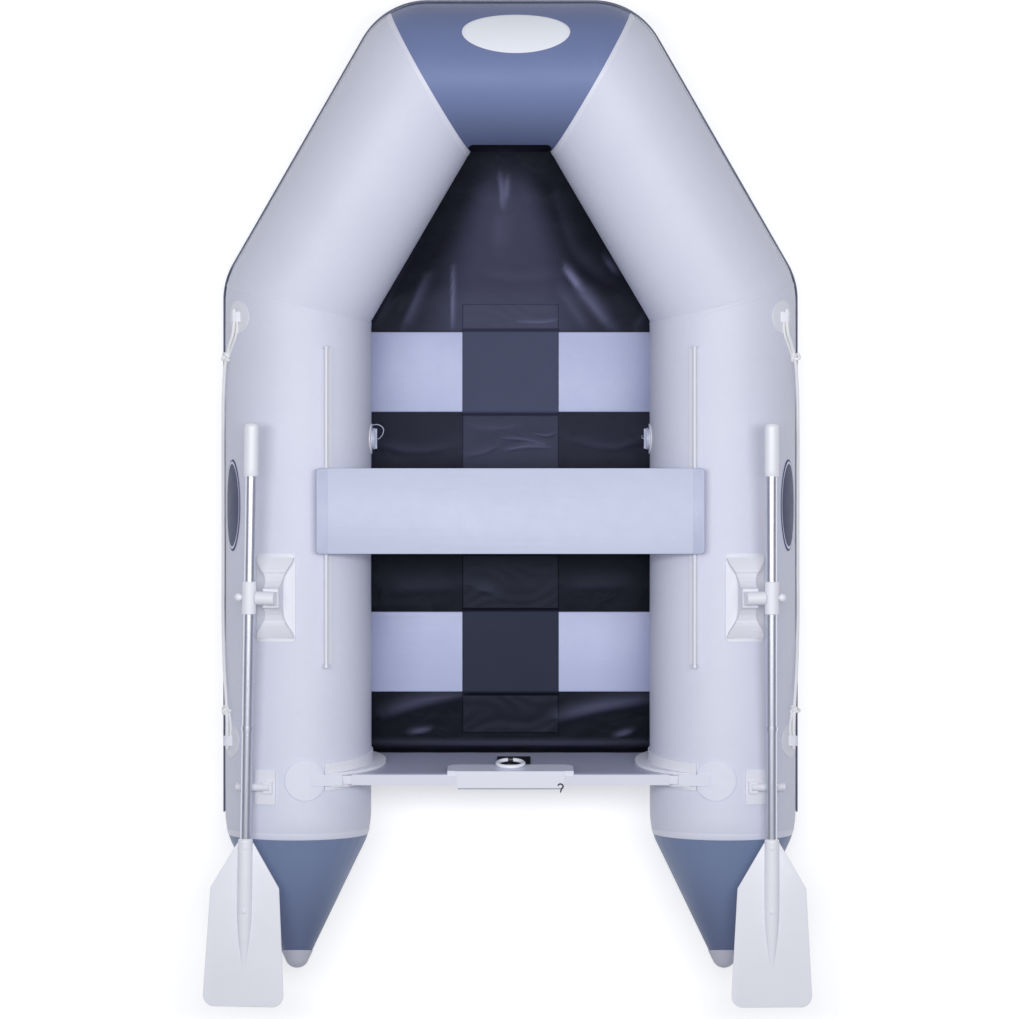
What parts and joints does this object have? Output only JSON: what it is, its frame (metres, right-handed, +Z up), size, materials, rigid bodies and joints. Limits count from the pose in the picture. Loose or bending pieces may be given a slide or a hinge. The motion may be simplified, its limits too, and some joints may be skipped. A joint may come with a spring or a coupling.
{
  "type": "inflatable dinghy",
  "caption": "Inflatable dinghy with a raised bow tube, stern cones, rigid transom, sliding seat, slatted floor and stowed oars in swivelling oarlocks.",
  "frame": {"origin": "middle of the bottom of the part's box, under the boat on its centre line", "axes": "+Y towards the bow, +X to starboard, +Z up"},
  "size_m": [1.4361, 2.3801, 0.4599],
  "materials": {
    "bow_skin": "satin coated fabric",
    "tube_skin": "satin coated fabric",
    "cone_skin": "satin coated fabric",
    "tip_cap": "satin rubber",
    "baffle": "matte coated fabric",
    "strake": "satin rubber",
    "floor": "satin coated fabric",
    "slat": "painted",
    "sleeve": "woven",
    "transom": "painted",
    "trim": "satin",
    "holder": "satin",
    "tie": "satin coated fabric",
    "motor_plate": "satin",
    "motor_plate_outer": "satin",
    "ring_patch": "matte",
    "ring": "satin",
    "seat": "painted",
    "channel": "satin",
    "track": "satin",
    "valve": "satin",
    "valve_cap": "satin",
    "lock_base": "satin",
    "swivel": "satin",
    "knob": "satin",
    "collar": "satin",
    "shaft": "satin anodised",
    "grip": "satin",
    "blade": "satin",
    "oar_rest": "satin",
    "rope_pad": "satin",
    "rope": "braided",
    "side_plate": "satin",
    "bow_plate": "satin"
  },
  "bodies": {
    "hull": {"bow_tube": "bow_skin", "starboard_quarter_tube": "tube_skin", "port_quarter_tube": "tube_skin", "starboard_side_tube": "tube_skin", "port_side_tube": "tube_skin", "starboard_stern_cone": "cone_skin", "port_stern_cone": "cone_skin", "cone_tip_caps": "tip_cap", "chamber_baffle": "baffle", "rubbing_strake": "strake", "floor_sheet": "floor", "bow_floor_sheet": "floor", "fore_slat": "slat", "middle_slat": "slat", "aft_slat": "slat", "slat_sleeve": "sleeve", "transom_board": "transom", "transom_trim": "trim", "starboard_transom_holder": "holder", "port_transom_holder": "holder", "starboard_transom_tie": "tie", "port_transom_tie": "tie", "inner_motor_plate": "motor_plate", "outer_motor_plate": "motor_plate_outer", "ring_patch": "ring_patch", "starboard_seat_track": "track", "port_seat_track": "track", "starboard_valve": "valve", "port_valve": "valve", "starboard_oarlock_base": "lock_base", "port_oarlock_base": "lock_base", "starboard_oar_rest": "oar_rest", "port_oar_rest": "oar_rest", "starboard_lifeline_pads": "rope_pad", "port_lifeline_pads": "rope_pad", "starboard_lifeline": "rope", "port_lifeline": "rope", "side_plates": "side_plate", "bow_plate": "bow_plate"},
    "seat": {"seat_board": "seat", "seat_channels": "channel"},
    "safety_ring": {"safety_ring": "ring"},
    "starboard_swivel": {"starboard_swivel": "swivel", "starboard_pin_knob": "knob"},
    "starboard_oar": {"starboard_oar_collar": "collar", "starboard_upper_shaft": "shaft", "starboard_grip": "grip"},
    "starboard_blade_half": {"starboard_lower_shaft": "shaft", "starboard_blade": "blade"},
    "starboard_valve_cap": {"starboard_valve_cap": "valve_cap"},
    "port_swivel": {"port_swivel": "swivel", "port_pin_knob": "knob"},
    "port_oar": {"port_oar_collar": "collar", "port_upper_shaft": "shaft", "port_grip": "grip"},
    "port_blade_half": {"port_lower_shaft": "shaft", "port_blade": "blade"},
    "port_valve_cap": {"port_valve_cap": "valve_cap"}
  },
  "joints": [
    {"name": "seat_slide", "type": "slide", "parent": "hull", "child": "seat", "axis": [0, 1, 0], "range_m": [-0.265, 0.287]},
    {"name": "starboard_oar_swing", "type": "hinge", "parent": "hull", "child": "starboard_swivel", "pos_m": [0.56564, -0.22277, 0.39817], "axis": [0.2419, 0, 0.9703], "range_deg": [0, 120]},
    {"name": "starboard_oar_lift", "type": "hinge", "parent": "starboard_swivel", "child": "starboard_oar", "pos_m": [0.61124, -0.22187, 0.3868], "axis": [-0.9701, -0.0192, 0.2419], "range_deg": [0, 8.5]},
    {"name": "starboard_blade_turn", "type": "hinge", "parent": "starboard_oar", "child": "starboard_blade_half", "pos_m": [0.61279, -0.53431, 0.36824], "axis": [-0.005, 0.9982, 0.0593], "range_deg": [0, 90]},
    {"name": "starboard_valve_cap_turn", "type": "hinge", "parent": "hull", "child": "starboard_valve_cap", "pos_m": [0.327, 0.15523, 0.175], "axis": [-1, 0, 0], "range_deg": [0, 90]},
    {"name": "port_oar_swing", "type": "hinge", "parent": "hull", "child": "port_swivel", "pos_m": [-0.56564, -0.22277, 0.39817], "axis": [0.2419, 0, -0.9703], "range_deg": [0, 120]},
    {"name": "port_oar_lift", "type": "hinge", "parent": "port_swivel", "child": "port_oar", "pos_m": [-0.61122, -0.22113, 0.38681], "axis": [-0.9697, 0.0349, -0.2418], "range_deg": [0, 8.5]},
    {"name": "port_blade_turn", "type": "hinge", "parent": "port_oar", "child": "port_blade_half", "pos_m": [-0.61753, -0.53344, 0.36706], "axis": [-0.0202, -0.9978, -0.0631], "range_deg": [0, 90]},
    {"name": "port_valve_cap_turn", "type": "hinge", "parent": "hull", "child": "port_valve_cap", "pos_m": [-0.327, 0.15523, 0.175], "axis": [1, 0, 0], "range_deg": [0, 90]},
    {"name": "ring_swing", "type": "hinge", "parent": "hull", "child": "safety_ring", "pos_m": [0, -0.61121, 0.24515], "axis": [-1, 0, 0], "range_deg": [0, 170]}
  ]
}
